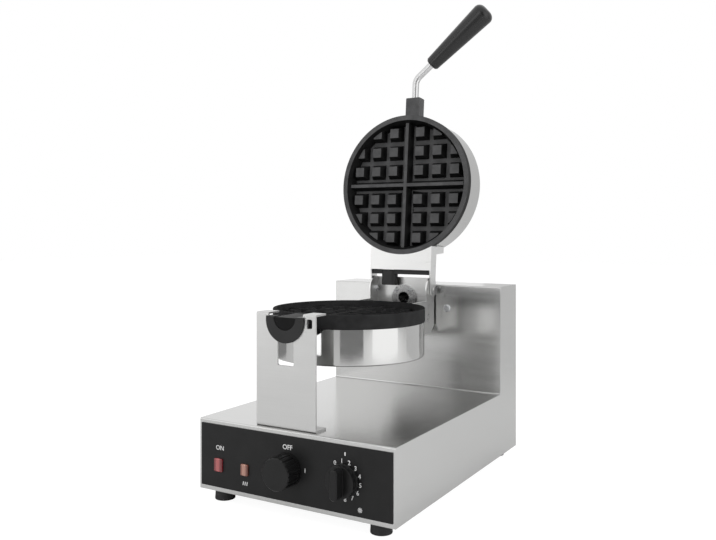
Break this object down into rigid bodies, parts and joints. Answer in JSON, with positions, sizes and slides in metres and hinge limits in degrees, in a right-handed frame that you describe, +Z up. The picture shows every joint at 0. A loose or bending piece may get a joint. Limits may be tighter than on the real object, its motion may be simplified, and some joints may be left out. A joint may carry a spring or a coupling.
{
  "type": "rotating waffle maker",
  "caption": "Countertop round waffle maker: two hinged cast plates in steel shells turn on a front notch and a rear shaft, on a steel stand with knobs and lamps.",
  "frame": {"origin": "centre of the object's footprint on the counter", "axes": "+Z up, +X to the right seen from the control panel, +Y to the rear; the moulds turn about an axis along Y"},
  "size_m": [0.25, 0.396, 0.6119],
  "materials": {
    "stainless": "brushed stainless sheet",
    "bracket_steel": "brushed stainless plate, cut and bent",
    "shell_steel": "drawn stainless, polished round",
    "black_iron": "cast iron, black baked on",
    "lug_iron": "grey black casting",
    "panel_black": "satin black print on sheet",
    "rod_chrome": "bright plated bar",
    "grip_black": "moulded, low gloss",
    "moulded_black": "fine texture moulding",
    "knob_black": "satin moulding",
    "foot_rubber": "matt",
    "red_lens": "clear red",
    "amber_lens": "clear amber",
    "zinc_steel": "zinc plated",
    "pin_steel": "turned steel",
    "bearing_bronze": "turned bronze",
    "heater_sheath": "oxidised tube",
    "ceramic_block": "unglazed"
  },
  "bodies": {
    "base": {"housing": "stainless", "bottom_plate": "zinc_steel", "feet": "foot_rubber", "foot_screws": "zinc_steel", "rear_cover": "stainless", "cover_screws": "zinc_steel", "cord_gland": "moulded_black", "gland_nut": "moulded_black", "control_panel": "panel_black", "red_lamp": "red_lens", "orange_lamp": "amber_lens", "thermostat_body": "moulded_black", "timer_body": "moulded_black", "terminal_block": "ceramic_block", "front_bracket": "bracket_steel", "bracket_screws": "zinc_steel", "bracket_liner": "moulded_black", "shaft_bush": "bearing_bronze", "bearing_plate": "zinc_steel", "bearing_bolts": "zinc_steel"},
    "lower_mould": {"lower_plate": "black_iron", "lower_shell": "shell_steel", "lower_heater": "heater_sheath", "lower_mould_screws": "zinc_steel", "lower_lug": "lug_iron", "lower_bracket": "bracket_steel", "lower_bracket_screws": "zinc_steel", "rotor_shaft": "pin_steel", "shaft_screws": "zinc_steel", "shaft_collar": "pin_steel", "hinge_pins": "pin_steel", "hinge_nuts": "zinc_steel"},
    "lid": {"upper_plate": "black_iron", "upper_shell": "shell_steel", "upper_heater": "heater_sheath", "upper_mould_screws": "zinc_steel", "upper_lug": "lug_iron", "upper_bracket": "bracket_steel", "upper_bracket_screws": "zinc_steel", "hinge_insulator": "moulded_black", "cable_sleeve": "moulded_black", "handle_rod": "rod_chrome", "grip": "grip_black"},
    "thermostat_control": {"thermostat_knob": "knob_black", "thermostat_spindle": "pin_steel"},
    "timer_control": {"timer_knob": "knob_black", "timer_spindle": "pin_steel"}
  },
  "joints": [
    {"name": "mould_turn", "type": "hinge", "parent": "base", "child": "lower_mould", "pos_m": [-0.011, 0, 0.211], "axis": [0, 1, 0], "range_deg": [0, 36]},
    {"name": "lid_hinge", "type": "hinge", "parent": "lower_mould", "child": "lid", "pos_m": [-0.011, 0.105, 0.223], "axis": [1, 0, 0], "range_deg": [0, 95]},
    {"name": "thermostat_turn", "type": "hinge", "parent": "base", "child": "thermostat_control", "pos_m": [-0.004, -0.18, 0.051], "axis": [0, 1, 0], "range_deg": [0, 300]},
    {"name": "timer_turn", "type": "hinge", "parent": "base", "child": "timer_control", "pos_m": [0.0665, -0.18, 0.051], "axis": [0, 1, 0], "range_deg": [0, 300]}
  ]
}
